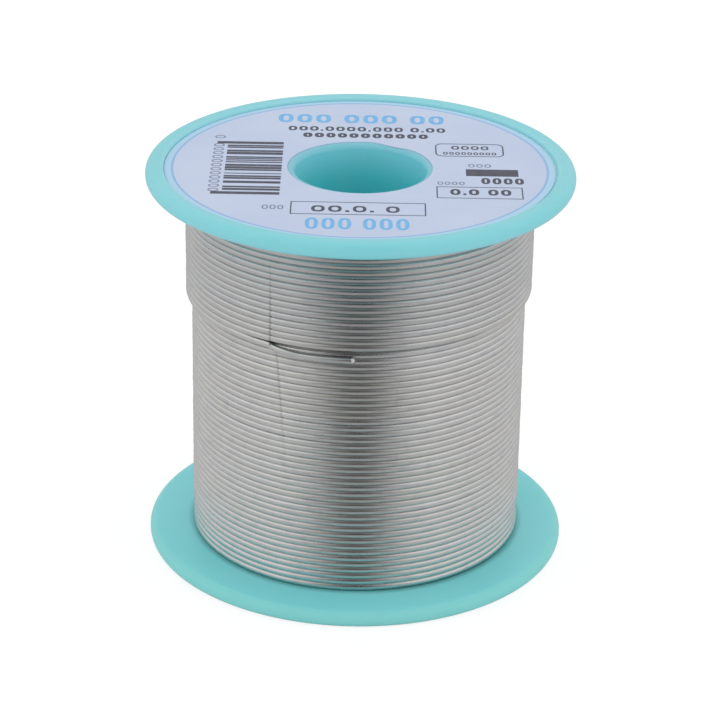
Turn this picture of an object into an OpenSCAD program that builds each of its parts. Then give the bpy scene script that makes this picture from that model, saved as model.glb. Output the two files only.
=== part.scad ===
// Solder wire spool: a plastic reel of a barrel and two pressed-on flanges, wound with flux-cored
// solder wire, with a round paper label in the recess of its upper flange.
// Millimetres, +Z up. The origin is the centre of the face that the reel stands on.

/* [Flanges] */
// Diameter across each flange
flange_d = 67; // [64:1:90]
// Thickness of each flange at its rim
flange_t = 2.7; // [1.9:0.1:4]
// Rounding of a flange's edges
flange_edge_r = 1.3; // [0.3:0.1:1.5]
// Width of the raised rim round a flange's outer face
rim_w = 2.7; // [2:0.1:4]
// Depth of the recess inside the rim
recess_h = 0.7; // [0.2:0.1:1]

/* [Barrel] */
// Height of the reel over both flanges
reel_h = 64; // [54:1:100]
// Diameter of the drum that the wire is wound on
drum_d = 42.2; // [40:0.1:46]
// Wall of the drum
drum_wall = 2.2; // [1.6:0.1:2.6]
// Wall of the hub tube round the bore
hub_wall = 2.4; // [1.8:0.1:2.8]
// Radial ribs that join the hub tube to the drum
rib_count = 8; // [4:1:12]
// Thickness of each rib
rib_t = 1.6; // [1.2:0.1:2]

/* [Bore] */
// Diameter of the bore that a spindle goes through
bore_d = 20.5; // [16:0.5:22]
// Rounding of the bore's two mouths
bore_lip_r = 0.9; // [0.4:0.1:1.2]

/* [Fits] */
// Length of the ring on each flange that presses into the drum
spigot_l = 4; // [2:0.5:8]
// Wall of that ring
spigot_wall = 1.6; // [1.2:0.1:2]
// Play of the flanges on the barrel, on the radius
press_gap = 0.05; // [0.02:0.01:0.1]
// Play left under the wire and round the pieces that it holds
seat_gap = 0.03; // [0.02:0.01:0.06]

/* [Wire] */
// Diameter of the solder wire
wire_d = 1; // [0.8:0.1:1.1]
// Gap between neighbouring turns as wound
turn_gap = 0.02; // [0:0.01:0.1]
// Full layers on the drum
full_layers = 6; // [4:1:7]
// Gap between the winding and each flange
end_gap = 0.1; // [0.05:0.05:1]
// Height of the part-used outer layer, from its top turn to the wire's free end
outer_band_h = 19.2; // [14:0.1:22]
// Diameter of the flux inside the wire
flux_d = 0.42; // [0.3:0.02:0.5]

/* [Coils] */
// Loops drawn for the part-used outer layer
outer_loops = 7; // [5:1:8]
// Loops drawn for the full layer that shows below it
full_loops = 16; // [12:1:16]
// Direction of the line where each layer starts and ends, round +Z from +X
seam_angle = 243; // [200:1:260]
// Direction where the wire's straight free end begins
tail_angle = 266.5; // [262:0.1:300]

/* [Label] */
// Thickness of the label
label_t = 0.12; // [0.06:0.02:0.18]
// Margin between the label and the flange's rim
label_margin = 0.3; // [0.1:0.1:1]
// Margin between the label's hole and the bore's rounded mouth
label_hole_margin = 0.15; // [0.05:0.05:0.5]
// Direction of the hole's flat side, where the label overhangs the mouth
label_flat_angle = 60.8; // [0:0.1:360]
// Distance from the bore's wall to that flat side
label_flat_gap = 0.1; // [0.05:0.05:0.3]

/* [Hidden] */

$fn = 96;
plastic_color = [0.45, 0.80, 0.82];
solder_color = [0.74, 0.74, 0.73];
flux_color = [0.85, 0.70, 0.40];
label_color = [0.75, 0.79, 0.90];

flange_r = flange_d / 2;
recess_r = flange_r - rim_w;
bore_r = bore_d / 2;
hub_r = bore_r + hub_wall;
drum_r = drum_d / 2;
drum_inner_r = drum_r - drum_wall;
flange_hole_r = hub_r + press_gap;
spigot_r = drum_inner_r - press_gap;
rib_z = flange_t + spigot_l + press_gap;
rib_root = min(hub_wall, drum_wall) / 2;
arc_steps = 3;

// The hexagonal coils: a loop has this many rings, and its flats face the drum.
loop_rings = 24;
wire_sides = 6;
wire_r = wire_d / 2;
wire_flat = wire_r * cos(180 / wire_sides);
bend_r = wire_d;
bend_rings = 3;

// Neighbouring layers nest in each other's grooves.
turn_pitch = wire_d + turn_gap;
layer_step = sqrt(pow(wire_d, 2) - pow(turn_pitch / 2, 2));
full_r = drum_r + wire_d + (full_layers - 1) * layer_step;
inner_r = full_r - 2 * wire_flat;
wind_bottom = flange_t + end_gap;
wind_top = reel_h - flange_t - end_gap;
outer_top_z = wind_top - wire_r;
tail_z = wind_top - outer_band_h + wire_r;
ledge_z = tail_z - wire_r - seat_gap;
full_bottom_z = wind_bottom + wire_r;
full_top_z = ledge_z - wire_d;
tail_turn = tail_angle - seam_angle;

label_r = recess_r - label_margin;
label_hole_r = bore_r + bore_lip_r + label_hole_margin;
label_flat_r = bore_r + label_flat_gap;

// Points on an arc of radius r round c, from angle a0 to a1
function arc(c, r, a0, a1) = [
    for (i = [0:arc_steps])
        let (a = a0 + (a1 - a0) * i / arc_steps)
        c + r * [cos(a), sin(a)]
];

function unit(v) = v / norm(v);

// Radial and tangential directions at angle a, and a point at radius r and height z there
function radial(a) = [cos(a), sin(a), 0];
function tangential(a) = [-sin(a), cos(a), 0];
function place(r, a, z) = r * radial(a) + [0, 0, z];

// Radius of a coil's rings whose flats clear a core of radius core_r at the middle of each chord
function coil_r(core_r) = (core_r + seat_gap) / cos(180 / loop_rings) + wire_flat;

// A bend from straight out of the core into the winding direction at angle a. side is 1 where the
// wire leaves the core and -1 where it returns into it.
function plunge(r, a, z, side) = [
    place(r - bend_r - wire_d, a, z),
    for (i = [0:bend_rings - 1])
        let (b = 90 * i / bend_rings)
        place(r - bend_r + bend_r * sin(b), a, z) + side * bend_r * (1 - cos(b)) * tangential(a)
];

// Centre line of a helix from angle a0 and height z0 over turn degrees to height z1. Its first
// ring lies one bend past a0.
function helix(r, a0, turn, z0, z1) =
    let (first = bend_r / r * 180 / PI, rings = ceil((turn - first) / 360 * loop_rings))
    [
        for (i = [0:rings])
            let (a = first + (turn - first) * i / rings)
            place(r, a0 + a, z0 + (z1 - z0) * a / turn)
    ];

function reversed(list) = [for (i = [len(list) - 1:-1:0]) list[i]];

// The outer layer comes out of the core under the upper flange and winds down to its free end.
function outer_path() =
    let (
        r = coil_r(full_r),
        turn = 360 * outer_loops + tail_turn,
        winding = helix(r, seam_angle, turn, outer_top_z, tail_z)
    )
    concat(
        plunge(r, seam_angle, outer_top_z, 1),
        winding,
        [winding[len(winding) - 1] + wire_d * tangential(tail_angle)]
    );

// The full layer comes out of the core over the lower flange, winds up and goes back in.
function full_path() =
    let (
        r = coil_r(inner_r),
        turn = 360 * full_loops,
        last = bend_r / r * 180 / PI
    )
    concat(
        plunge(r, seam_angle, full_bottom_z, 1),
        helix(r, seam_angle, turn - last, full_bottom_z, full_top_z),
        reversed(plunge(r, seam_angle, full_top_z, -1))
    );

// Direction of a path at its ring i: along the straight run at an end, else between neighbours
function heading(path, i) =
    let (last = len(path) - 1)
    i == 0 ? unit(path[1] - path[0])
    : i == last ? unit(path[last] - path[last - 1])
    : unit(path[i + 1] - path[i - 1]);

// The six points of a ring of radius r round p, square to the heading t
function ring(p, t, r) =
    let (u = unit(cross(t, [0, 0, 1])), v = cross(u, t))
    [
        for (k = [0:wire_sides - 1])
            let (a = 180 / wire_sides + 360 / wire_sides * k)
            p + r * (cos(a) * u + sin(a) * v)
    ];

// Two triangles for each side between the ring of points from a and the ring from b
function band(a, b) = [
    for (k = [0:wire_sides - 1])
        let (n = (k + 1) % wire_sides)
        each [[a + k, b + n, b + k], [a + k, a + n, b + n]]
];

// A fan of triangles over the ring of points from a, seen from its front or, turned, its back
function fan(a, turned) = [
    for (k = [1:wire_sides - 2])
        turned ? [a, a + k, a + k + 1] : [a, a + k + 1, a + k]
];

// Least distance between the surfaces of loops of one path that lie half a loop or more apart
function self_gap(path) =
    min([
        for (i = [0:len(path) - 1], j = [i + loop_rings / 2:1:len(path) - 1])
            norm(path[i] - path[j])
    ]) - wire_d;

// An unbroken wire along a path. bore is the radius of a blind hole in its last straight run.
module wire(path, bore = 0) {
    rings = len(path);
    last = (rings - 1) * wire_sides;
    mouth = rings * wire_sides;
    floor_ring = mouth + wire_sides;
    run = heading(path, rings - 1);
    skin = [for (i = [0:rings - 1]) each ring(path[i], heading(path, i), wire_r)];
    hole = [for (p = [path[rings - 1], path[rings - 2]]) each ring(p, run, bore)];
    wall = [for (i = [0:rings - 2]) each band(i * wire_sides, (i + 1) * wire_sides)];
    hole_faces = concat(band(last, mouth), band(mouth, floor_ring), fan(floor_ring, true));
    polyhedron(
        points = bore > 0 ? concat(skin, hole) : skin,
        faces = concat(fan(0, false), wall, bore > 0 ? hole_faces : fan(last, true))
    );
}

// A flange lying with its outer face at z = 0: rim, recess, rounded edges and spigot ring
module flange() {
    r = flange_r;
    e = min(flange_edge_r, flange_t / 2 - seat_gap);
    rotate_extrude() {
        polygon(concat(
            [[flange_hole_r, recess_h], [recess_r, recess_h], [recess_r, 0]],
            arc([r - e, e], e, -90, 0),
            arc([r - e, flange_t - e], e, 0, 90),
            [
                [spigot_r, flange_t],
                [spigot_r, flange_t + spigot_l],
                [spigot_r - spigot_wall, flange_t + spigot_l],
                [spigot_r - spigot_wall, flange_t],
                [flange_hole_r, flange_t]
            ]
        ));
    }
}

// Pocket in the winding's core where the wire comes up from the layer beneath
module riser_pocket(r, z, side) {
    clear = wire_r + seat_gap;
    depth = r - bend_r - wire_d - seat_gap;
    rotate([0, 0, seam_angle])
        translate([depth, side > 0 ? -clear : -bend_r - seat_gap, z - clear])
            cube([flange_r, bend_r + seat_gap + clear, 2 * clear]);
}

// Barrel: the drum, the hub tube with its rounded mouths, and the ribs between them
module reel_barrel() {
    lip = bore_lip_r;
    low = recess_h;
    high = reel_h - recess_h;
    color(plastic_color) {
        rotate_extrude() {
            translate([drum_inner_r, flange_t])
                square([drum_wall, reel_h - 2 * flange_t]);
        }
        rotate_extrude() {
            polygon(concat(
                [[hub_r, low], [hub_r, high]],
                arc([bore_r + lip, high - lip], lip, 90, 180),
                arc([bore_r + lip, low + lip], lip, 180, 270)
            ));
        }
        for (i = [0:rib_count - 1]) {
            rotate([0, 0, 360 / rib_count * i])
                translate([hub_r - rib_root, -rib_t / 2, rib_z])
                    cube([drum_inner_r - hub_r + 2 * rib_root, rib_t, reel_h - 2 * rib_z]);
        }
    }
}

module lower_flange() {
    color(plastic_color)
        flange();
}

module upper_flange() {
    color(plastic_color)
        translate([0, 0, reel_h])
            mirror([0, 0, 1])
                flange();
}

// The layers under the drawn loops: a plain core, stepped where the outer layer ends
module wire_lower_layers() {
    color(solder_color)
        difference() {
            rotate_extrude() {
                polygon([
                    [drum_r + seat_gap, wind_bottom],
                    [inner_r, wind_bottom],
                    [inner_r, ledge_z],
                    [full_r, ledge_z],
                    [full_r, wind_top],
                    [drum_r + seat_gap, wind_top]
                ]);
            }
            riser_pocket(coil_r(full_r), outer_top_z, 1);
            riser_pocket(coil_r(inner_r), full_bottom_z, 1);
            riser_pocket(coil_r(inner_r), full_top_z, -1);
        }
}

module wire_full_layer() {
    color(solder_color)
        wire(full_path());
}

module wire_outer_layer() {
    color(solder_color)
        wire(outer_path(), bore = (flux_d / 2 + seat_gap) / cos(180 / wire_sides));
}

// Flux in the wire's open end
module flux_core() {
    path = outer_path();
    color(flux_color)
        translate(path[len(path) - 2])
            rotate([0, 90, tail_angle + 90])
                translate([0, 0, seat_gap])
                    cylinder(h = wire_d - seat_gap, d = flux_d);
}

// Label: a disc with a round hole that has one flat side
module top_label() {
    color(label_color)
        translate([0, 0, reel_h - recess_h])
            linear_extrude(label_t)
                difference() {
                    circle(r = label_r);
                    intersection() {
                        circle(r = label_hole_r);
                        rotate([0, 0, label_flat_angle])
                            translate([-label_r, -label_r])
                                square([label_r + label_flat_r, 2 * label_r]);
                    }
                }
}

echo(str("wire_full_layer: least gap between its loops ", self_gap(full_path()), " mm"));
echo(str("wire_outer_layer: least gap between its loops ", self_gap(outer_path()), " mm"));

reel_barrel();
lower_flange();
upper_flange();
wire_lower_layers();
wire_full_layer();
wire_outer_layer();
flux_core();
top_label();
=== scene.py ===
import bpy
import numpy as np
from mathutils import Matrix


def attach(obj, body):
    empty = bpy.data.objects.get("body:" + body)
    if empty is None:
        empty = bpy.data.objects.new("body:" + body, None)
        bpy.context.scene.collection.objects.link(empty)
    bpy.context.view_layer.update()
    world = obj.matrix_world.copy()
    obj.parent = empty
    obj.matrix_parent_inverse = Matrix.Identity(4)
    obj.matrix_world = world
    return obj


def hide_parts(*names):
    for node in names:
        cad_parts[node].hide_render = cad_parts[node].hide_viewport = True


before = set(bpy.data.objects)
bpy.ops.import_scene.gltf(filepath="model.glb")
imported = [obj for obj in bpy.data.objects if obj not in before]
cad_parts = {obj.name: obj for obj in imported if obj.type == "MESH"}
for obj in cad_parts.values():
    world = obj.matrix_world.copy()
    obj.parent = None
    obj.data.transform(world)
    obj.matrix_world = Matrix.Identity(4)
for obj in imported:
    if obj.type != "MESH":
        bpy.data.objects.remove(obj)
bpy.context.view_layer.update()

# Camera
# It looks down on the reel from the front, at about 25 degrees, with a long lens and a slight roll.
camera_pitch = np.radians(24.57)
camera_roll = np.radians(0.99)
camera_target = np.array([0.38, 0.0, 30.38]) / 1000
camera_distance = 0.4672
camera_lens = 145.75

look = np.array([0.0, np.cos(camera_pitch), -np.sin(camera_pitch)])
level = np.array([1.0, 0.0, 0.0])
upright = np.array([0.0, np.sin(camera_pitch), np.cos(camera_pitch)])
camera_place = np.eye(4)
camera_place[:3, 0] = level * np.cos(camera_roll) + upright * np.sin(camera_roll)
camera_place[:3, 1] = upright * np.cos(camera_roll) - level * np.sin(camera_roll)
camera_place[:3, 2] = -look
camera_place[:3, 3] = camera_target - look * camera_distance

camera_data = bpy.data.cameras.new("camera")
camera_data.lens = camera_lens
camera_data.sensor_width = 36
camera_data.clip_start = 0.01
camera_data.clip_end = 20
camera = bpy.data.objects.new("camera", camera_data)
camera.matrix_world = camera_place.T.tolist()
bpy.context.scene.collection.objects.link(camera)
bpy.context.scene.camera = camera
bpy.context.scene.view_settings.view_transform = "Standard"

# Reel barrel
# Moulded in one shot of teal polystyrene: a hub tube round the bore, the drum that the wire lies on,
# and eight radial ribs between them. The flanges press onto its two ends.
reel_height = 64.0
flange_thickness = 2.7
recess_depth = 0.7
bore_radius = 10.25
hub_radius = 12.65
hub_edge = 0.2
lip_radius = 0.9
drum_radius = 21.1
drum_inner_radius = 18.9
rib_count = 8
rib_thickness = 1.6
rib_start = 6.25
rib_overlap = 0.6
bore_wall_inset = 3.0


def tint(red, green, blue):
    """Linear colour of three display values from 0 to 255: the sRGB curve taken backwards."""
    value = np.array([red, green, blue]) / 255
    linear = np.where(value <= 0.04045, value / 12.92, ((value + 0.055) / 1.055) ** 2.4)
    return (*linear.tolist(), 1.0)


def piece(name, points, faces, material, nodes=(), smooth=True, uv=None):
    """A mesh from points in millimetres, riding on the reel, with the CAD nodes that it stands for.
    uv holds one pair for each corner of each face, in the order of the faces."""
    mesh = bpy.data.meshes.new(name)
    corners = faces if isinstance(faces, list) else faces.tolist()
    mesh.from_pydata((np.asarray(points) / 1000).tolist(), [], corners)
    mesh.polygons.foreach_set("use_smooth", np.full(len(mesh.polygons), smooth))
    if uv is not None:
        layer = mesh.uv_layers.new(name="length_and_round")
        layer.data.foreach_set("uv", np.asarray(uv, np.float32).ravel())
    mesh.materials.append(material)
    mesh.update()
    made = bpy.data.objects.new(name, mesh)
    bpy.context.scene.collection.objects.link(made)
    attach(made, "root")
    if nodes:
        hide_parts(*nodes)


def closed_quads(steps, count):
    """Quads of an outline of this many points, carried round in steps and closed both ways: a corner,
    the same one a step on, its neighbour there, and its neighbour here."""
    i, j = np.meshgrid(np.arange(steps), np.arange(count), indexing="ij")
    i2, j2 = (i + 1) % steps, (j + 1) % count
    faces = np.stack([i * count + j, i2 * count + j, i2 * count + j2, i * count + j2], axis=-1)
    return faces.reshape(-1, 4)


def turned(profile, steps=192):
    """A closed ring: each (radius, height) of a closed outline, listed anticlockwise with the radius
    to the right and the height up, goes round the Z axis in equal steps."""
    radius, height = np.asarray(profile, float).T
    turn = np.linspace(0, 2 * np.pi, steps, endpoint=False)[:, None]
    points = np.stack([radius * np.cos(turn), radius * np.sin(turn), height + 0 * turn], axis=-1)
    return points.reshape(-1, 3), closed_quads(steps, len(radius))


def bend(centre, radius, start, end, steps=8):
    """Points on an arc of an outline: centre plus radius times (cosine, sine) of angles in degrees."""
    angle = np.radians(np.linspace(start, end, steps + 1))
    return [(centre[0] + radius * np.cos(a), centre[1] + radius * np.sin(a)) for a in angle]


def joined(*parts):
    """Points and faces of several closed shapes as one list of each."""
    points, faces, base = [], [], 0
    for part_points, part_faces in parts:
        points.append(part_points)
        faces.append(part_faces + base)
        base += len(part_points)
    return np.concatenate(points), np.concatenate(faces)


class Field:
    """A number that varies over a surface. Arithmetic on it adds Math nodes to its material."""

    def __init__(self, finish, socket):
        self.finish = finish
        self.socket = socket

    def __add__(self, other):
        return self.finish.math("ADD", self, other)

    def __sub__(self, other):
        return self.finish.math("SUBTRACT", self, other)

    def __rsub__(self, other):
        return self.finish.math("SUBTRACT", other, self)

    def __mul__(self, other):
        return self.finish.math("MULTIPLY", self, other)

    def __pow__(self, other):
        return self.finish.math("POWER", self, other)

    __radd__ = __add__
    __rmul__ = __mul__

    def step(self, low, high):
        """0 below low, 1 above high, and a smooth rise between them."""
        node = self.finish.add(
            "ShaderNodeMapRange",
            {"interpolation_type": "SMOOTHSTEP"},
            {"Value": self, "From Min": low, "From Max": high},
        )
        return self.finish.field(node)

    def between(self, rise, fall):
        """1 between a rise and a fall, each given by where it starts and ends, and 0 beyond them."""
        return self.step(*rise) * (1.0 - self.step(*fall))


class Finish:
    """One node tree, of a material or of the world, and the fields that feed its shaders."""

    def __init__(self, owner):
        owner.use_nodes = True
        self.owner = owner
        self.tree = owner.node_tree

    def fill(self, node, values):
        """Sets a node's sockets to numbers, or links fields and other sockets to them."""
        for name, value in values.items():
            if isinstance(value, Field):
                value = value.socket
            if isinstance(value, bpy.types.NodeSocket):
                self.tree.links.new(value, node.inputs[name])
            else:
                node.inputs[name].default_value = value
        return node

    def add(self, kind, settings=None, values=None):
        """A node of this type, with its settings made first and then its sockets filled."""
        node = self.tree.nodes.new(kind)
        for name, value in (settings or {}).items():
            setattr(node, name, value)
        return self.fill(node, values or {})

    def field(self, node, output=0):
        return Field(self, node.outputs[output])

    def math(self, operation, *values):
        """A Math node on fields or numbers."""
        return self.field(self.add("ShaderNodeMath", {"operation": operation}, dict(enumerate(values))))

    def place(self, source="Object"):
        """Object coordinates, or another kind, as a vector socket."""
        return self.add("ShaderNodeTexCoord").outputs[source]

    def scaled(self, vector, scale, shift=(0, 0, 0)):
        """A vector times a scale for each axis, plus a shift."""
        values = {0: vector, 1: scale, 2: shift}
        return self.add("ShaderNodeVectorMath", {"operation": "MULTIPLY_ADD"}, values).outputs[0]

    def noise(self, vector, scale, detail, rough):
        """Fractal noise from 0 to 1, of this scale, number of octaves and roughness."""
        node = self.add(
            "ShaderNodeTexNoise",
            {"noise_dimensions": "3D"},
            {"Vector": vector, "Scale": scale, "Detail": detail, "Roughness": rough},
        )
        return self.field(node, "Fac")

    def streaks(self, vector, scale, detail, rough, shift=(0, 0, 0)):
        """Noise that is drawn out, by a scale for each axis."""
        return self.noise(self.scaled(vector, scale, shift), 1.0, detail, rough)

    def parts(self, vector):
        """The three numbers of a vector."""
        node = self.add("ShaderNodeSeparateXYZ", {}, {0: vector})
        return [self.field(node, k) for k in range(3)]

    def from_axis(self, where):
        """Distance from the reel's axis: the root of x squared plus y squared."""
        x, y, z = self.parts(where)
        return (x * x + y * y) ** 0.5

    def blend(self, factor, first, second):
        """A colour between two colours."""
        node = self.add(
            "ShaderNodeMix",
            {"data_type": "RGBA", "blend_type": "MIX", "clamp_result": False},
            {0: factor, 6: first, 7: second},
        )
        return node.outputs[2]

    def bump(self, height, depth, strength=1.0, under=None):
        """A normal from a height field, its depth in metres times strength, over another if given."""
        values = {"Height": height, "Distance": depth, "Strength": strength}
        if under is not None:
            values["Normal"] = under
        return self.add("ShaderNodeBump", {}, values).outputs[0]

    def shade(self, values):
        """Fills the Principled shader, and returns the finished material."""
        self.fill(self.tree.nodes["Principled BSDF"], values)
        return self.owner


def moulded_teal(name, deeper, paler, marks=(), painted_tones=(), shine=0.36):
    """Teal polystyrene: faint flow clouds between two tones, fine grain and hairline scratches. Each
    of marks is a field from 0 to 1 with the depth in metres that the mould leaves there. Each of the
    painted tones gives a field and a colour of painted light or shade that the plastic takes where it
    is 1. shine is the strength of its reflections."""
    finish = Finish(bpy.data.materials.new(name))
    where = finish.place()
    clouds = finish.noise(where, 42.0, 3.0, 0.55)
    grain = finish.noise(where, 2600.0, 2.0, 0.6)
    scratch = finish.streaks(where, (260.0, 2600.0, 900.0), 2.0, 0.5).step(0.66, 0.72)
    scuff = finish.noise(where, 210.0, 5.0, 0.65).step(0.52, 0.75)
    colour = finish.blend(clouds.step(0.3, 0.7), deeper, paler)
    colour = finish.blend(scuff * 0.12, colour, tint(158, 214, 219))
    # Painted light and shade, laid over the plastic's own colour.
    for paint in painted_tones:
        factor, painted_colour = paint(finish, where)
        colour = finish.blend(factor, colour, painted_colour)
    normal = finish.bump(grain, depth=0.000012, strength=0.5)
    normal = finish.bump(1.0 - scratch, depth=0.00001, strength=0.35, under=normal)
    for mark, depth in marks:
        normal = finish.bump(mark(finish, where), depth, under=normal)
    return finish.shade(
        {
            "IOR": 1.55,
            "Specular IOR Level": shine,
            "Subsurface Weight": 0.18,
            "Subsurface Radius": (0.5, 1.0, 1.0),
            "Subsurface Scale": 0.0015,
            "Base Color": colour,
            "Roughness": 0.3 + 0.1 * clouds + 0.12 * scuff + 0.05 * scratch,
            "Normal": normal,
        }
    )


def rib_blocks():
    """Eight boxes from the hub tube to the drum, each turned by its share of a full circle: x times
    the cosine less y times the sine, and x times the sine plus y times the cosine."""
    outwards = (hub_radius - rib_overlap, drum_inner_radius + rib_overlap)
    aside = (-rib_thickness / 2, rib_thickness / 2)
    upwards = (rib_start, reel_height - rib_start)
    x, y, z = np.array([(x, y, z) for x in outwards for y in aside for z in upwards]).T
    sides = np.array([[0, 1, 3, 2], [4, 6, 7, 5], [0, 4, 5, 1], [2, 3, 7, 6], [0, 2, 6, 4], [1, 5, 7, 3]])
    turn = (np.arange(rib_count) * 2 * np.pi / rib_count)[:, None]
    points = np.stack(
        [x * np.cos(turn) - y * np.sin(turn), x * np.sin(turn) + y * np.cos(turn), z + 0 * turn],
        axis=-1,
    )
    faces = np.arange(rib_count)[:, None, None] * len(x) + sides
    return points.reshape(-1, 3), faces.reshape(-1, 4)


hub_low, hub_high = recess_depth, reel_height - recess_depth
hub_outline = (
    bend((bore_radius + lip_radius, hub_low + lip_radius), lip_radius, 180, 270)
    + bend((hub_radius - hub_edge, hub_low + hub_edge), hub_edge, 270, 360, 3)
    + bend((hub_radius - hub_edge, hub_high - hub_edge), hub_edge, 0, 90, 3)
    + bend((bore_radius + lip_radius, hub_high - lip_radius), lip_radius, 90, 180)
    + [(bore_radius, z) for z in np.linspace(hub_high - bore_wall_inset, hub_low + bore_wall_inset, 12)]
)
drum_outline = [
    (drum_inner_radius, flange_thickness),
    (drum_radius, flange_thickness),
    (drum_radius, reel_height - flange_thickness),
    (drum_inner_radius, reel_height - flange_thickness),
]


def draw_lines(finish, where):
    """Hairline drag marks up the bore, where the core pin was pulled out."""
    return finish.streaks(where, (1500.0, 1500.0, 16.0), 2.0, 0.5)


def painted_shade_on_lip(finish, where):
    """Painted shade: the rounded lip of the bore, toned down to a dull grey blue where it is lit brightest.
    """
    lip_low, lip_high = 0.0621, 0.0634
    x, y, z = finish.parts(where)
    return z.step(lip_low, lip_high) * 0.8, tint(121, 182, 200)


def painted_light_in_bore(finish, where):
    """Painted light: the top of the bore, paler where light falls in at its mouth. It fades out 7 mm down."""
    lit_low, lit_high = 0.0565, 0.0625
    x, y, z = finish.parts(where)
    return z.step(lit_low, lit_high) * 0.75, tint(142, 222, 235)


barrel_teal = moulded_teal(
    "teal_barrel",
    tint(93, 215, 223),
    tint(100, 219, 226),
    [(draw_lines, 0.00001)],
    # Painted light at the top of the bore, and painted shade on its lip.
    [painted_light_in_bore, painted_shade_on_lip],
)
barrel_points, barrel_faces = joined(turned(hub_outline), turned(drum_outline), rib_blocks())
piece("reel_barrel_moulding", barrel_points, barrel_faces, barrel_teal, ["reel_barrel"])

# Flanges
# Two equal discs of the same teal polystyrene, with a full round edge and a raised rim round a recess on
# the outer face. A ring on the inner face presses into the drum, and the hub tube comes up in the middle.
flange_radius = 33.5
flange_edge = 1.3
recess_radius = 30.62
recess_edge = 0.65
recess_corner = 0.03
flange_hole_radius = 12.7
flange_hole_edge = 0.1
spigot_radius = 18.85
spigot_wall = 1.6
spigot_edge = 0.3
spigot_length = 4.0
spigot_top = flange_thickness + spigot_length
pin_count = 8
pin_circle = 0.023
pin_mark_edge = (0.00142, 0.00152)

flange_outline = (
    [
        (flange_hole_radius, recess_depth + flange_hole_edge),
        (flange_hole_radius + flange_hole_edge, recess_depth),
    ]
    + [(r, recess_depth) for r in np.linspace(15, 29, 8)]
    + bend((recess_radius - recess_corner, recess_depth - recess_corner), recess_corner, 90, 0, 2)
    + bend((recess_radius + recess_edge, recess_edge), recess_edge, 180, 270, 6)
    + bend((flange_radius - flange_edge, flange_edge), flange_edge, -90, 0, 12)
    + bend((flange_radius - flange_edge, flange_thickness - flange_edge), flange_edge, 0, 90, 12)
    + [(r, flange_thickness) for r in np.linspace(30, 21, 5)]
    + [
        (spigot_radius, flange_thickness),
        (spigot_radius, spigot_top - spigot_edge),
        (spigot_radius - spigot_edge, spigot_top),
        (spigot_radius - spigot_wall, spigot_top),
        (spigot_radius - spigot_wall, flange_thickness),
        (flange_hole_radius, flange_thickness),
    ]
)


def pin_marks(finish, where):
    """Round marks of the ejector pins, 3 mm across on a circle: the angle is folded to one pin's share
    of a turn, and the mark is where the distance to its middle is small."""
    x, y, z = finish.parts(where)
    radius = (x * x + y * y) ** 0.5
    half_share = np.pi / pin_count
    across = radius * finish.math("WRAP", finish.math("ARCTAN2", y, x), half_share, -half_share)
    along = radius - pin_circle
    distance = (across * across + along * along) ** 0.5
    return distance.step(*pin_mark_edge)


def turning_rings(finish, where):
    """Very faint rings round the axis, copied from the turned face of the mould."""
    line = finish.add("ShaderNodeCombineXYZ", {}, {0: finish.from_axis(where)})
    return finish.noise(line.outputs[0], 5200.0, 2.0, 0.6)


def painted_light_on_rim(finish, where):
    """Painted light: the edge round the recess, made paler where its inner round falls into shade. It is
    a ring of the two outer faces, far above and below the reel's middle."""
    x, y, z = finish.parts(where)
    ring = finish.from_axis(where).between((0.0304, 0.0306), (0.0308, 0.0313))
    outer_face = finish.math("ABSOLUTE", z - reel_height / 2000).step(0.0305, 0.031)
    return ring * outer_face * 0.3, tint(176, 228, 236)


def painted_shadow_by_winding(finish, where):
    """Painted shadow: a dark grey green tone in the corner where the winding meets the inner face."""
    return (1.0 - finish.from_axis(where).step(0.0262, 0.0275)) * 0.5, tint(62, 122, 120)


def painted_shade_on_edge(finish, where):
    """Painted shade: the round edge of the lower flange, toned a little yellower and darker where it catches
    more light than the flat face.
    """
    return finish.from_axis(where).step(0.0321, 0.0331) * 0.9, tint(133, 211, 209)


flange_marks = [(pin_marks, 0.00005), (turning_rings, 0.000006)]
# Painted light: the lower flange's two tones are lighter than the upper flange's, to make up for the shade
# that the winding casts on it.
lower_teal = moulded_teal(
    "teal_lower_flange",
    tint(131, 223, 227),
    tint(138, 226, 230),
    flange_marks,
    [painted_light_on_rim, painted_shadow_by_winding, painted_shade_on_edge],
    shine=0.2,
)
upper_teal = moulded_teal(
    "teal_upper_flange",
    tint(129, 208, 216),
    tint(136, 211, 220),
    flange_marks,
    [painted_light_on_rim],
)
lower_points, lower_faces = turned(flange_outline, steps=256)
upper_points = lower_points * [1, 1, -1] + [0, 0, reel_height]
upper_faces = lower_faces[:, ::-1]
piece("lower_flange_moulding", lower_points, lower_faces, lower_teal, ["lower_flange"])
piece("upper_flange_moulding", upper_points, upper_faces, upper_teal, ["upper_flange"])

# Solder wire, full layer
# Tin alloy wire of 1 mm, drawn bright, wound in close turns from one flange to the other. It climbs by
# one pitch in each turn, and its layers lie on the drum over each other's grooves.
wire_radius = 0.5
wire_sides = 12
pitch = 1.018
pressed_spread = 1.12
full_layer_radius = 25.9
full_layer_low = 3.1
full_layer_low_angle = -162.0
full_layer_rest = 3.23
full_start = -222.0
full_turns = 56
full_end_short = 0.2
full_close_before = 0.8
full_close_after = 6.4
dive_turn = 50.0

# The seam runs down the front. Under the free end it leans over, by some degrees for each millimetre, and
# in the outer layer it stands straight.
full_seam_angle = -118.2
outer_seam_angle = -119.2
seam_lean = 0.2
seam_lean_top = 44.0
seam_lean_length = 28.0
crease_depth = 0.07
crease_width = 0.55
crease_foot = 20
crease_foot_fade = 12
crease_top_fade = 8
full_crease_top = 70

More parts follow.
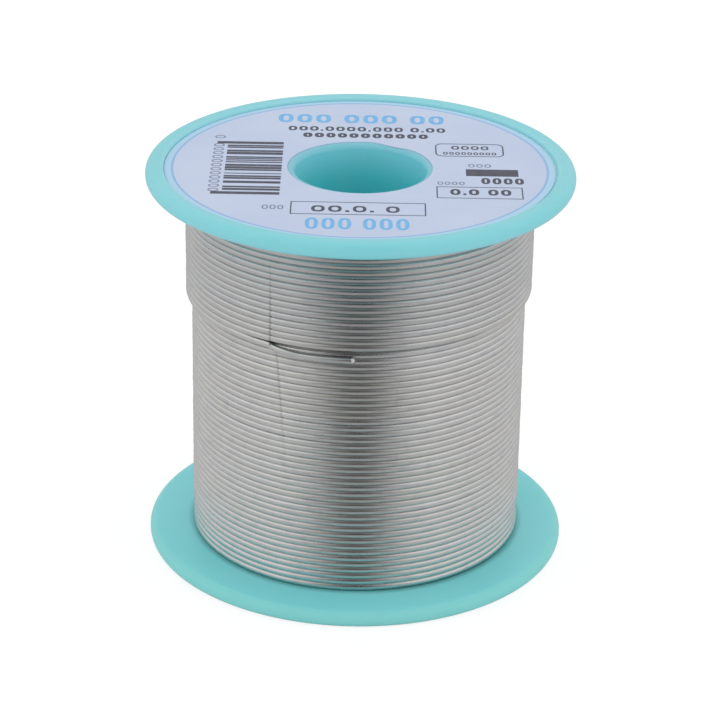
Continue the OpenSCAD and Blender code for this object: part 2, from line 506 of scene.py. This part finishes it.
# Where the wire's tone changes, as the start and the end of each rise or fall, in metres and radians: the
# seam's line of painted shade, the two layers, and the painted shade on the front of the turns that the
# outer one covers and in the gap that the tail has left there.
seam_line_edge = (0.001, 0.009)
seam_line_heights = ((0.018, 0.042), (0.046, 0.06))
between_layers = (0.02645, 0.02655)
outer_layer_foot = (0.0431, 0.0435)
gap_foot = (0.04275, 0.04295)
covered_arc = np.radians([(-122, -118), (-86, -68)])
gap_arc = np.radians([(-103, -97), (-91, -88)])
gap_start_arc = np.radians([(-120, -119), (-117, -114)])


def full_layer_height(angle):
    """Height of the full layer's lowest turn at an angle in degrees: one pitch for each full turn."""
    return full_layer_low + pitch * (angle - full_layer_low_angle) / 360


def rise(share):
    """0 to 1 with a smooth start and end: three squares less two cubes of the share."""
    share = np.clip(share, 0, 1)
    return share * share * (3 - 2 * share)


def full_seam(height):
    """Direction of the faint crease down the full layer, at a height in millimetres."""
    return full_seam_angle + seam_lean * np.clip(seam_lean_top - height, 0.0, seam_lean_length)


def crease(angle, height, seam, top):
    """How far the turns are pressed in at the seam: a narrow bell, faded out near its two ends."""
    away = (angle - seam + 180) % 360 - 180
    fade = np.clip((height - crease_foot) / crease_foot_fade, 0, 1)
    fade = fade * np.clip((top - height) / crease_top_fade, 0, 1)
    return crease_depth * fade * np.exp(-((away / crease_width) ** 2))


def winding_angles(start, end, steps, seam_from, seam_to):
    """Angles from start to end in degrees, in equal steps, with close ones over the seam's stretch."""
    close, margin = 0.4, 0.3
    even = np.arange(start, end, 360 / steps)
    turns = np.arange(np.floor(start / 360) - 1, np.ceil(end / 360) + 1)
    fine = (360 * turns[:, None] + np.arange(seam_from, seam_to, close)[None]).ravel()
    fine = fine[(fine > start + margin) & (fine < end - margin)]
    return np.unique(np.round(np.concatenate([even, fine, [end]]), 4))


def wander(angle, seed, size):
    """A slow, even wobble from five sines whose counts per turn aren't whole numbers. Their sum is
    divided by its usual reach."""
    rng = np.random.default_rng(seed)
    turn = np.radians(angle)
    rates = rng.uniform(0.13, 2.7, 5)
    shifts = rng.uniform(0, 2 * np.pi, 5)
    usual_reach = 2.2
    return size * sum(np.sin(r * turn + s) for r, s in zip(rates, shifts)) / usual_reach


def wound(radius, angle, height):
    """Points of a winding: the radius times the cosine and the sine of the angle in degrees, and the
    height."""
    turn = np.radians(angle)
    return np.stack([radius * np.cos(turn), radius * np.sin(turn), height], axis=-1)


def ring_quads(count, sides):
    """Quads from each ring to the next: a corner, its neighbour, and the same two a ring on."""
    i, j = np.meshgrid(np.arange(count - 1), np.arange(sides), indexing="ij")
    j2 = (j + 1) % sides
    faces = np.stack([i * sides + j, i * sides + j2, (i + 1) * sides + j2, (i + 1) * sides + j], axis=-1)
    return faces.reshape(-1, 4)


def end_fans(count, sides):
    """Quads that close the first and the last ring, each a fan round one more point. The two points
    follow those of the rings."""
    k = np.arange(0, sides, 2)
    middle = count * sides
    first = np.stack([(k + 2) % sides, (k + 1) % sides, k, np.full_like(k, middle)], axis=-1)
    last = (count - 1) * sides + np.stack([k, (k + 1) % sides, (k + 2) % sides, k], axis=-1)
    last[:, 3] = middle + 1
    return np.concatenate([first, last])


def wire_skin(path, spread):
    """Rings round a path: each point of a ring is the path's point plus the radius times the cosine
    of its angle outwards and the sine across, square to the path. spread widens each ring across, for
    soft wire that its neighbours press flat. Returns rings and quads, and a pair for each corner:
    millimetres along the wire, and turns round it."""
    along = np.gradient(path, axis=0)
    along /= np.linalg.norm(along, axis=1, keepdims=True)
    outwards = path * [1, 1, 0]
    outwards /= np.linalg.norm(outwards, axis=1, keepdims=True)
    outwards -= along * np.sum(outwards * along, axis=1, keepdims=True)
    outwards /= np.linalg.norm(outwards, axis=1, keepdims=True)
    across = np.cross(along, outwards) * np.broadcast_to(spread, len(path))[:, None]
    turn = (np.linspace(0, 2 * np.pi, wire_sides, endpoint=False) + np.pi)[None, :, None]
    rings = path[:, None] + wire_radius * (np.cos(turn) * outwards[:, None] + np.sin(turn) * across[:, None])
    faces = ring_quads(len(path), wire_sides)
    length = np.concatenate([[0], np.cumsum(np.linalg.norm(np.diff(path, axis=0), axis=1))])
    side = faces[:, 0] % wire_sides
    turns_round = np.stack([side, side + 1, side + 1, side], axis=-1) / wire_sides
    return rings, faces, np.stack([length[faces // wire_sides], turns_round], axis=-1).reshape(-1, 2)


def capped(rings, faces, pairs):
    """Closes both ends of a wire with a fan round the mean of its last ring."""
    fans = end_fans(*rings.shape[:2])
    points = np.concatenate([rings.reshape(-1, 3), [rings[0].mean(axis=0), rings[-1].mean(axis=0)]])
    fan_pairs = np.zeros((fans.size, 2)) + pairs[-1]
    return points, np.concatenate([faces, fans]), np.concatenate([pairs, fan_pairs])


def drawn_solder():
    """Bright drawn tin alloy: long die lines along the wire, a patchy bloom of grey oxide, and a tone
    that changes a little from stretch to stretch. The turns from 41 mm up are a little darker. The seam
    is a faint dark line of painted shade down the winding, at an angle that depends on the height, and
    painted shade darkens the front of the turns that the outer layer covers."""
    finish = Finish(bpy.data.materials.new("drawn_solder"))
    run = finish.place("UV")
    lines = finish.streaks(run, (0.05, 9.0, 0.0), 3.0, 0.6)
    stretch = finish.streaks(run, (0.021, 0.4, 0.0), 2.0, 0.5, (3.1, 0.0, 0.0))
    bloom = finish.streaks(run, (0.35, 2.2, 0.0), 4.0, 0.62, (0.0, 0.0, 7.0))
    nicks = finish.streaks(run, (1.7, 4.0, 0.0), 2.0, 0.5, (0.0, 0.0, 21.0)).step(0.68, 0.76)
    bright, warm, oxide = tint(223, 223, 224), tint(221, 220, 216), tint(203, 203, 207)
    upper_turns_tone, seam_shade, covered_shade = tint(197, 199, 201), tint(120, 120, 118), tint(98, 99, 98)
    colour = finish.blend(stretch.step(0.3, 0.7), bright, warm)
    colour = finish.blend(bloom.step(0.45, 0.75) * 0.7, colour, oxide)
    where = finish.place()
    x, y, z = finish.parts(where)
    # The turns from 41 mm up are blended a little darker, by two fifths from 50 mm up.
    colour = finish.blend(z.step(0.041, 0.05) * 0.4, colour, upper_turns_tone)
    upper = z.step(*outer_layer_foot)
    angle = finish.math("ARCTAN2", y, x)
    lean = np.radians(seam_lean * 1000) * finish.math("MAXIMUM", seam_lean_top / 1000 - z, 0.0)
    most_lean = np.radians(seam_lean * seam_lean_length)
    seam = np.radians(full_seam_angle) + finish.math("MINIMUM", lean, most_lean)
    seam = seam + upper * (np.radians(outer_seam_angle) - seam)
    # Painted shade: a faint dark line down the seam, darker in the outer layer.
    line = 1.0 - finish.math("ABSOLUTE", angle - seam).step(*seam_line_edge)
    line = line * z.between(*seam_line_heights)
    colour = finish.blend(line * (0.25 + 0.25 * upper), colour, seam_shade)
    # Painted shade: the front of the turns under the outer layer is darkened, most in the gap that the tail
    # has left.
    covered = (1.0 - finish.from_axis(where).step(*between_layers)) * angle.between(*covered_arc)
    gap = 0.2 * angle.step(*gap_arc[0]) * (1.0 - 0.7 * angle.step(*gap_arc[1]))
    gap = z.step(*gap_foot) * (gap + 0.1 * angle.between(*gap_start_arc))
    painted_gap_shade = finish.math("MAXIMUM", gap, 0.1 * upper) * covered
    colour = finish.blend(painted_gap_shade, colour, covered_shade)
    normal = finish.bump(lines, depth=0.00002, strength=0.2)
    normal = finish.bump(1.0 - nicks, depth=0.00003, strength=0.08, under=normal)
    return finish.shade(
        {
            "Metallic": 1.0,
            "Base Color": colour,
            "Roughness": 0.2 + 0.1 * bloom + 0.08 * stretch + 0.08 * nicks,
            "Normal": normal,
        }
    )


# The lowest turn lies flat on the flange, and comes up there from the layer beneath.
full_end = full_layer_low_angle + 360 * (full_turns - full_end_short)
full_close = (full_seam_angle - full_close_before, full_seam_angle + full_close_after)
full_angle = winding_angles(full_start, full_end, 120, *full_close)
full_height = np.maximum(full_layer_height(full_angle), full_layer_rest)
full_height += wander(full_angle, seed=4, size=0.02)
full_radius = full_layer_radius + wander(full_angle, seed=5, size=0.018)
full_radius -= crease(full_angle, full_height, full_seam(full_height), full_crease_top)
full_radius -= 2 * wire_radius * (1 - rise((full_angle - full_start) / dive_turn))
full_path = wound(full_radius, full_angle, full_height)
full_points, full_faces, full_pairs = capped(*wire_skin(full_path, pressed_spread))
solder = drawn_solder()
piece("solder_full_layer", full_points, full_faces, solder, ["wire_full_layer"], uv=full_pairs)

# Solder wire, outer layer
# The same wire, back down from the upper flange over the layer beneath. Part of it has been used, so it
# ends in a free tail at the front, which has slipped down by one groove.
outer_top = 60.68
outer_start = 130.0
outer_slope = 0.35
outer_crease_top = 56
outer_turns = 17
outer_close_reach = 2.4
cross_angle = 90.0
cross_half = 42.0
tail_end_angle = -91.2
tail_spring = 0.12
tail_spring_arc = 14
tail_loose_arc = 45
tail_loose_ease = 30
cut_slant = 0.55

# The tail slips in three stages, each a share of the drop that grows from one angle over another: a
# little before the seam, a kink at the seam, and an even lean to the end.
slip_drop = 1.04
slip_stages = [(0.14, -134.0, 10.0), (0.22, -120.2, 1.8), (0.64, -122.0, 14.0)]


def outer_layer_height(angle):
    """Height of the outer layer: it follows the groove beneath a little upwards, and crosses down to
    the next place in a stretch at the back of each turn."""
    since = (angle - (cross_angle - cross_half)) / 360
    whole = np.floor(since)
    crossings = whole + rise((since - whole) * 360 / (2 * cross_half))
    climb = outer_slope * (angle - outer_start) / 360
    return outer_top + pitch * (climb - (1 + outer_slope) * (crossings - 1))


def resting_radius(angle, height):
    """Radius at which a wire lies on the full layer: the layer's radius plus the side of a triangle
    whose long side is one wire and whose short side is the height over the nearest turn."""
    off = (height - full_layer_height(angle) + pitch / 2) % pitch - pitch / 2
    return full_layer_radius + np.sqrt(4 * wire_radius**2 - off**2)


outer_circles = 360 * (outer_turns + 1)
outer_end = outer_circles + tail_end_angle
outer_close = (outer_seam_angle - outer_close_reach, outer_seam_angle + outer_close_reach)
outer_angle = winding_angles(outer_start, outer_end, 128, *outer_close)
last_turn_angle = outer_angle - outer_circles
slip = sum(share * rise((last_turn_angle - start) / reach) for share, start, reach in slip_stages)
outer_height = outer_layer_height(outer_angle) - slip_drop * slip
outer_radius = resting_radius(outer_angle, outer_height)
outer_height += wander(outer_angle, seed=8, size=0.02)
outer_radius += wander(outer_angle, seed=9, size=0.02)
outer_radius -= crease(outer_angle, outer_height, outer_seam_angle, outer_crease_top)
spring = np.clip((outer_angle - outer_end + tail_spring_arc) / tail_spring_arc, 0, 1) ** 2
outer_radius += tail_spring * spring
outer_path = wound(outer_radius, outer_angle, outer_height)
loose_share = rise((outer_angle - outer_end + tail_loose_arc) / tail_loose_ease)
outer_spread = pressed_spread + (1 - pressed_spread) * loose_share
outer_rings, outer_faces, outer_pairs = wire_skin(outer_path, outer_spread)

# The cutters leave a slanting face: the side away from the drum is cut back.
tail_tip = outer_path[-1]
tail_run = tail_tip - outer_path[-2]
tail_run /= np.linalg.norm(tail_run)
tail_out = tail_tip * [1, 1, 0]
tail_out /= np.linalg.norm(tail_out)
outer_rings[-1] -= tail_run * (cut_slant * ((outer_rings[-1] - tail_tip) @ tail_out))[:, None]
outer_points, outer_faces, outer_pairs = capped(outer_rings, outer_faces, outer_pairs)
piece("solder_outer_layer", outer_points, outer_faces, solder, ["wire_outer_layer"], uv=outer_pairs)

# Solder wire, layers beneath
# The layers under the two that show. They are drawn as one ribbed sleeve, and only its ends can be seen,
# between the winding and the flanges.
sleeve_low = 2.75
sleeve_high = 61.2
sleeve_radius = 25.38
sleeve_rib = 0.12
sleeve_turns = 58
sleeve_play = 0.03

sleeve_heights = np.linspace(sleeve_low, sleeve_high, sleeve_turns * 4 + 1)
sleeve_ribs = sleeve_radius + sleeve_rib * np.cos(2 * np.pi * (sleeve_heights - full_layer_low) / pitch)
sleeve_outline = [
    (drum_radius + sleeve_play, sleeve_high),
    (drum_radius + sleeve_play, sleeve_low),
    *zip(sleeve_ribs, sleeve_heights),
]
sleeve_points, sleeve_faces = turned(sleeve_outline, steps=120)


def packed_solder():
    """Solder seen between turns: dull and dark with oxide."""
    finish = Finish(bpy.data.materials.new("packed_solder"))
    patches = finish.noise(finish.place(), 300.0, 3.0, 0.6)
    return finish.shade(
        {
            "Metallic": 1.0,
            "Base Color": finish.blend(patches, tint(150, 150, 147), tint(188, 187, 183)),
            "Roughness": 0.4 + 0.2 * patches,
            "Normal": finish.bump(patches, depth=0.00005, strength=0.5),
        }
    )


piece("solder_inner_layers", sleeve_points, sleeve_faces, packed_solder(), ["wire_lower_layers"])

# Flux core
# Resin flux that fills the middle of the wire, seen as a small pale dot in the cut end. It is a short plug
# with a slanting, slightly domed face.
flux_radius = 0.21
flux_sides = 16
flux_back = -0.4
flux_rim = 0.02
flux_dome = 0.035
flux_top = 0.04

flux_turn = np.linspace(0, 2 * np.pi, flux_sides, endpoint=False)[:, None]
flux_round = np.cos(flux_turn) * tail_out + np.sin(flux_turn) * np.cross(tail_run, tail_out)
flux_face = flux_round - cut_slant * np.cos(flux_turn) * tail_run
flux_points = np.concatenate(
    [
        tail_tip + flux_radius * flux_round + flux_back * tail_run,
        tail_tip + flux_radius * flux_face + flux_rim * tail_run,
        tail_tip + flux_radius * 0.5 * flux_face + flux_dome * tail_run,
        [tail_tip + flux_back * tail_run, tail_tip + flux_top * tail_run],
    ]
)
flux_faces = np.concatenate([ring_quads(3, flux_sides), end_fans(3, flux_sides)])


def resin():
    """Pale rosin: clear, with cloudy patches and tiny pits."""
    finish = Finish(bpy.data.materials.new("rosin_flux"))
    cloud = finish.noise(finish.place(), 3000.0, 3.0, 0.6)
    return finish.shade(
        {
            "Subsurface Weight": 0.3,
            "Subsurface Radius": (1.0, 0.9, 0.7),
            "Subsurface Scale": 0.0003,
            "Base Color": finish.blend(cloud, tint(240, 236, 224), tint(230, 222, 202)),
            "Roughness": 0.15 + 0.2 * cloud,
            "Normal": finish.bump(cloud, depth=0.00002, strength=0.5),
        }
    )


piece("flux_in_wire_end", flux_points, flux_faces, resin(), ["flux_core"])

# Label
# A round label of coated paper, glued into the recess of the upper flange, a little off its middle. Its
# punched hole clears the bore's mouth, but for one flat side that is pressed down over the mouth's round.
label_shift = -0.14
label_radius = 30.42
label_hole = 11.33
label_flat = 10.8
label_flat_angle = np.radians(60.8)
label_bottom = reel_height - recess_depth
label_thickness = 0.12
label_top = label_bottom + label_thickness

# Across the sheet, from the hole's edge over the top to the rim and back beneath: each point's share of
# the way to the rim, and its height over the bottom in sheets.
label_shares = np.array([0, 0, 0.004, 0.01, 0.02, 0.03, 0.3, 0.7, 0.996, 1, 1, 0.5, 0.03, 0.015])
label_heights = np.array([0, 0.75, 1, 1, 1, 1, 1, 1, 1, 0.75, 0, 0, 0, 0])


def label_sheet(steps=360):
    """A ring: at each direction the inner edge is the hole's radius or, where less, the flat side's
    distance over the cosine of the angle from it. The sheet drops with the arc of the bore's mouth."""
    turn = np.linspace(0, 2 * np.pi, steps, endpoint=False)[:, None]
    facing = np.maximum(np.cos(turn - label_flat_angle), 0.2)
    inner = np.minimum(label_hole, label_flat / facing)
    radius = inner + (label_radius - inner) * label_shares
    over_mouth = np.maximum(bore_radius + lip_radius - radius, 0)
    drop = lip_radius - np.sqrt(lip_radius**2 - over_mouth**2)
    height = label_bottom + label_thickness * label_heights - drop
    points = np.stack([radius * np.cos(turn) + label_shift, radius * np.sin(turn), height], axis=-1)
    return points.reshape(-1, 3), closed_quads(steps, len(label_shares))[:, [0, 3, 2, 1]]


def label_paper():
    """Coated lavender paper with a paler blue band outside a thin blue ring, fine fibres and a few
    faint rub marks."""
    ring_inside, ring_outside = (0.02898, 0.02904), (0.02937, 0.02943)
    finish = Finish(bpy.data.materials.new("label_paper"))
    where = finish.place()
    radius = finish.from_axis(finish.scaled(where, (1, 1, 1), (-label_shift / 1000, 0, 0)))
    fibres = finish.noise(finish.scaled(where, (1.0, 0.6, 1.0)), 1500.0, 4.0, 0.65)
    clouds = finish.noise(where, 60.0, 3.0, 0.5)
    rub = finish.streaks(where, (90.0, 420.0, 90.0), 3.0, 0.6).step(0.6, 0.72)
    colour = finish.blend(clouds.step(0.3, 0.7), tint(189, 202, 228), tint(195, 207, 231))
    colour = finish.blend(fibres.step(0.45, 0.75) * 0.25, colour, tint(205, 214, 235))
    colour = finish.blend(radius.step(*ring_outside), colour, tint(174, 212, 236))
    colour = finish.blend(radius.between(ring_inside, ring_outside) * 0.8, colour, tint(132, 178, 224))
    colour = finish.blend(rub * 0.12, colour, tint(214, 220, 236))
    return finish.shade(
        {
            "IOR": 1.45,
            "Base Color": colour,
            "Roughness": 0.42 + 0.14 * fibres - 0.06 * rub,
            "Normal": finish.bump(fibres, depth=0.000012, strength=0.5),
        }
    )


sheet_points, sheet_faces = label_sheet()
piece("round_label", sheet_points, sheet_faces, label_paper(), ["top_label"], smooth=False)

# Print on the label
# Ink laid on the paper: a heading and a line at the foot in blue, two dark lines, a column of dark bars,
# and boxes for the particulars. Every line is plain noughts, so none of it is a real word or code.
ink_low = label_top - 0.01
ink_high = label_top + 0.02
column_top = 10.4
column_foot = -12.5
column_right = -12.3
bar_left = -21.1
end_bar_left = -22.8
digit_column = -22.45
digit_heights = [12.4, *np.linspace(8.7, -10.8, 12)]

# Thickness of each bar of the column and the gap beneath it, in shares of the column's height.
bar_shares = [10, 6, 5, 7, 10, 5, 4, 4, 4, 8, 9, 6, 3, 6, 7, 9, 6, 8, 10]
gap_shares = [5, 2, 9, 2, 9, 2, 3, 4, 7, 2, 2, 10, 7, 2, 8, 12, 3, 6, 0]


def slab(shapes):
    """Flat inked shapes at two heights. A shape is an outline and the outline of its hole, or None: it
    has a face or a strip of faces on top and beneath, and a wall down each outline."""
    points, faces = [], []
    for outline, hole in shapes:
        count, base = len(outline), len(points)
        after = [(k + 1) % count for k in range(count)]
        for ring, side in ((outline, 1), (hole or [], -1)):
            first = len(points)
            points += [(x, y, ink_low) for x, y in ring] + [(x, y, ink_high) for x, y in ring]
            wall = [[first + k, first + n, first + count + n, first + count + k] for k, n in enumerate(after)]
            faces += [face[::side] for face in wall] if ring else []
        if hole:
            low, high = base + 2 * count, base + 3 * count
            faces += [[base + count + k, base + count + n, high + n, high + k] for k, n in enumerate(after)]
            faces += [[base + n, base + k, low + k, low + n] for k, n in enumerate(after)]
        else:
            faces.append([base + count + k for k in range(count)])
            faces.append([base + count - 1 - k for k in range(count)])
    return points, faces


def rounded(x0, x1, y0, y1, radius=0.0):
    """The outline of a rectangle with round corners."""
    if radius <= 0:
        return [(x0, y0), (x1, y0), (x1, y1), (x0, y1)]
    return (
        bend((x1 - radius, y0 + radius), radius, -90, 0, 4)
        + bend((x1 - radius, y1 - radius), radius, 0, 90, 4)
        + bend((x0 + radius, y1 - radius), radius, 90, 180, 4)
        + bend((x0 + radius, y0 + radius), radius, 180, 270, 4)
    )


def ruled_box(x0, x1, y0, y1, width, radius=0.0):
    """A ruled box: the strip between two rectangles."""
    inside = rounded(x0 + width, x1 - width, y0 + width, y1 - width, max(radius - width, 0))
    return [(rounded(x0, x1, y0, y1, radius), inside)]


def nought(cx, cy, width, height, stroke):
    """A plain 0: the strip between two superellipses of power 2.5, of 24 points each. Cosine and sine
    are raised to 2 over that power, and keep their signs."""
    turn = np.linspace(0, 2 * np.pi, 24, endpoint=False)
    bow = np.sign(np.cos(turn)) * np.abs(np.cos(turn)) ** 0.8
    rib = np.sign(np.sin(turn)) * np.abs(np.sin(turn)) ** 0.8
    return [
        tuple(
            [(cx + (width / 2 - inset) * c, cy + (height / 2 - inset) * s) for c, s in zip(bow, rib)]
            for inset in (0, stroke)
        )
    ]


def noughts(x0, x1, y0, y1, pattern, stroke):
    """Plain noughts in a row, with a small block for each full stop of the pattern."""
    wide = {"0": 1.0, ".": 0.45, " ": 0.5}
    room = (x1 - x0) / sum(wide[c] for c in pattern)
    shapes, x = [], x0
    for c in pattern:
        step = room * wide[c]
        if c == "0":
            shapes += nought(x + step / 2, (y0 + y1) / 2, step * 0.8, y1 - y0, stroke)
        elif c == ".":
            shapes.append((rounded(x + step * 0.25, x + step * 0.75, y0, y0 + stroke * 1.3), None))
        x += step
    return shapes


def column_bars():
    """Bars across the column, one beneath another. The first and the last are longer than the rest."""
    share = (column_top - column_foot) / (sum(bar_shares) + sum(gap_shares))
    bars, y = [], column_top
    for k, (bar, gap) in enumerate(zip(bar_shares, gap_shares)):
        left = end_bar_left if k in (0, len(bar_shares) - 1) else bar_left
        bars.append((rounded(left, column_right, y - bar * share, y), None))
        y -= (bar + gap) * share
    return bars


dark_print = (
    noughts(-11.9, 13.6, 16.0, 18.0, "000.0000.000 0.00", 0.42)
    + noughts(-9.5, 10.8, 13.0, 15.0, "00000000000", 0.58)
    + column_bars()
    + [(rounded(16.3, 24.4, -3.2, -0.3), None)]
    + ruled_box(11.7, 22.5, 5.3, 11.0, 0.2, 1.2)
    + noughts(14.1, 20.3, 8.4, 10.0, "0000", 0.3)
    + noughts(12.8, 21.4, 6.1, 7.2, "000000000", 0.2)
    + noughts(18.4, 25.3, -6.5, -4.0, "0000", 0.5)
    + ruled_box(11.6, 24.8, -12.7, -7.9, 0.18)
    + noughts(13.5, 23.2, -11.3, -8.9, "0.0 00", 0.5)
    + ruled_box(-10.5, 9.9, -20.2, -15.1, 0.18)
    + noughts(-7.6, 6.2, -19.1, -16.6, "00.0. 0", 0.5)
)
grey_print = (
    noughts(16.6, 20.4, 0.6, 2.0, "000", 0.2)
    + noughts(11.7, 16.1, -7.1, -5.8, "0000", 0.2)
    + noughts(-14.9, -11.4, -18.4, -16.7, "000", 0.22)
    + sum([nought(digit_column, y, 1.7, 1.3, 0.24) for y in digit_heights], [])
)
blue_print = (
    noughts(-13.8, 13.6, 19.8, 23.7, "000 000 00", 0.75)
    + noughts(-8.4, 7.6, -26.0, -21.6, "000 000", 0.62)
)


def ink(name, colour, deeper):
    """Printing ink: nearly even, with small uneven patches where the paper took less of it."""
    finish = Finish(bpy.data.materials.new(name))
    uneven = finish.noise(finish.place(), 900.0, 4.0, 0.65)
    return finish.shade(
        {
            "IOR": 1.45,
            "Base Color": finish.blend(uneven.step(0.35, 0.7), deeper, colour),
            "Roughness": 0.38 + 0.2 * uneven,
            "Normal": finish.bump(uneven, depth=0.00001, strength=0.4),
        }
    )


for print_name, shapes, print_ink in (
    ("label_print_dark", dark_print, ink("dark_ink", tint(78, 80, 98), tint(58, 59, 74))),
    ("label_print_grey", grey_print, ink("grey_ink", tint(138, 142, 168), tint(122, 126, 152))),
    ("label_print_blue", blue_print, ink("blue_ink", tint(122, 188, 232), tint(106, 176, 228))),
):
    print_points, print_faces = slab(shapes)
    piece(print_name, print_points, print_faces, print_ink, smooth=False)

# Studio
# A plain white table, lit evenly from all sides. Only rays that mirrors send out see a room that is nearly
# dark straight in front, under a pale ceiling, and a table that is a little darker in front. The bright
# winding mirrors both, while matt surfaces take the plain level all round.
plain_level = 0.9
room_front_level = 0.02
room_side_level = 0.96
room_side_arc = (0.06, 0.86)
wall_foot_share = 0.7
wall_rise = (0.1, 0.8)
ceiling_level = 0.95
ceiling_rise = (0.95, 0.999)
table_front_level = 0.36
table_side_level = 0.585
table_side_arc = (0.0, 0.8)
table_grey = 0.92
table_glow = 0.84
table_size = 1.5
white = (1, 1, 1, 1)


def from_front(finish, x, y):
    """Angle from straight in front, in radians: the size of the arc tangent of x over minus y."""
    return finish.math("ABSOLUTE", finish.math("ARCTAN2", x, 0.0 - y))


def ray_kinds(finish):
    """1 for the rays that mirrors send out, and 1 for those of the camera and through glass."""
    rays = finish.add("ShaderNodeLightPath")
    seen = finish.field(rays, "Is Camera Ray") + finish.field(rays, "Is Transmission Ray")
    return finish.field(rays, "Is Glossy Ray"), seen


world = bpy.data.worlds.new("studio_room")
world.cycles.sampling_method = "NONE"
bpy.context.scene.world = world
room = Finish(world)
room.tree.nodes.clear()
dx, dy, dz = room.parts(room.place("Generated"))
sideways = from_front(room, dx, dy).step(*room_side_arc)
walls = room_front_level + (room_side_level - room_front_level) * sideways
walls = walls * (wall_foot_share + (1 - wall_foot_share) * dz.step(*wall_rise))
shown_in_metal = walls + dz.step(*ceiling_rise) * (ceiling_level - walls)
mirrored, seen = ray_kinds(room)
strength = plain_level + mirrored * (shown_in_metal - plain_level)
strength = strength + room.math("MINIMUM", seen, 1.0) * (1.0 - strength)
background = room.add("ShaderNodeBackground", {}, {"Color": white, "Strength": strength})
room.add("ShaderNodeOutputWorld", {}, {"Surface": background.outputs[0]})

table_finish = Finish(bpy.data.materials.new("white_table"))
table_finish.tree.nodes.clear()
table_place = table_finish.place()
tx, ty, tz = table_finish.parts(table_place)
sideways = from_front(table_finish, tx, ty).step(*table_side_arc)
table_in_metal = table_front_level + (table_side_level - table_front_level) * sideways
mirrored, seen = ray_kinds(table_finish)
grey = table_grey + 0.03 * table_finish.noise(table_place, 60.0, 3.0, 0.5)
table_colour = table_finish.add("ShaderNodeCombineColor", {}, {0: grey, 1: grey, 2: grey})
matt = table_finish.add("ShaderNodeBsdfDiffuse", {}, {"Color": table_colour.outputs[0]})
# Mirrors see the table as a painted glow of this level, darker in front, and not as lit paper.
mirror_glow = table_finish.add("ShaderNodeEmission", {}, {"Color": white, "Strength": table_in_metal})
shadow = table_finish.add("ShaderNodeBsdfDiffuse", {}, {"Color": (0.2, 0.2, 0.2, 1)})
glow = table_finish.add("ShaderNodeEmission", {}, {"Color": white, "Strength": table_glow})
shown = table_finish.add("ShaderNodeAddShader", {}, {0: shadow.outputs[0], 1: glow.outputs[0]})
unseen_mix = {0: mirrored, 1: matt.outputs[0], 2: mirror_glow.outputs[0]}
unseen = table_finish.add("ShaderNodeMixShader", {}, unseen_mix)
either_mix = {0: seen, 1: unseen.outputs[0], 2: shown.outputs[0]}
either = table_finish.add("ShaderNodeMixShader", {}, either_mix)
table_finish.add("ShaderNodeOutputMaterial", {}, {"Surface": either.outputs[0]})

table_mesh = bpy.data.meshes.new("table")
table_corners = [(x * table_size, y * table_size, 0) for x, y in ((-1, -1), (1, -1), (1, 1), (-1, 1))]
table_mesh.from_pydata(table_corners, [], [(0, 1, 2, 3)])
table_mesh.materials.append(table_finish.owner)
table = bpy.data.objects.new("table", table_mesh)
bpy.context.scene.collection.objects.link(table)


def softbox(name, place, target, size, power):
    """A square area lamp at a place in metres, turned to face a target, that metal doesn't mirror."""
    data = bpy.data.lights.new(name, "AREA")
    data.shape = "SQUARE"
    data.size = size
    data.energy = power
    lamp = bpy.data.objects.new(name, data)
    lamp.visible_glossy = False
    back = np.array(place, float) - np.array(target, float)
    back /= np.linalg.norm(back)
    guide = [0.0, 1.0, 0.0] if abs(back[2]) > 0.9 else [0.0, 0.0, 1.0]
    aside = np.cross(guide, back)
    aside /= np.linalg.norm(aside)
    turn = np.eye(4)
    turn[:3, 0] = aside
    turn[:3, 1] = np.cross(back, aside)
    turn[:3, 2] = back
    turn[:3, 3] = place
    lamp.matrix_world = turn.T.tolist()
    bpy.context.scene.collection.objects.link(lamp)


softbox("top_softbox", (0.0, 0.1, 0.9), (0, 0, 0.05), size=0.7, power=0.2)
softbox("left_softbox", (-0.8, -0.25, 0.4), (0, 0, 0.04), size=0.5, power=0.7)
softbox("right_softbox", (0.8, -0.25, 0.4), (0, 0, 0.04), size=0.5, power=0.7)
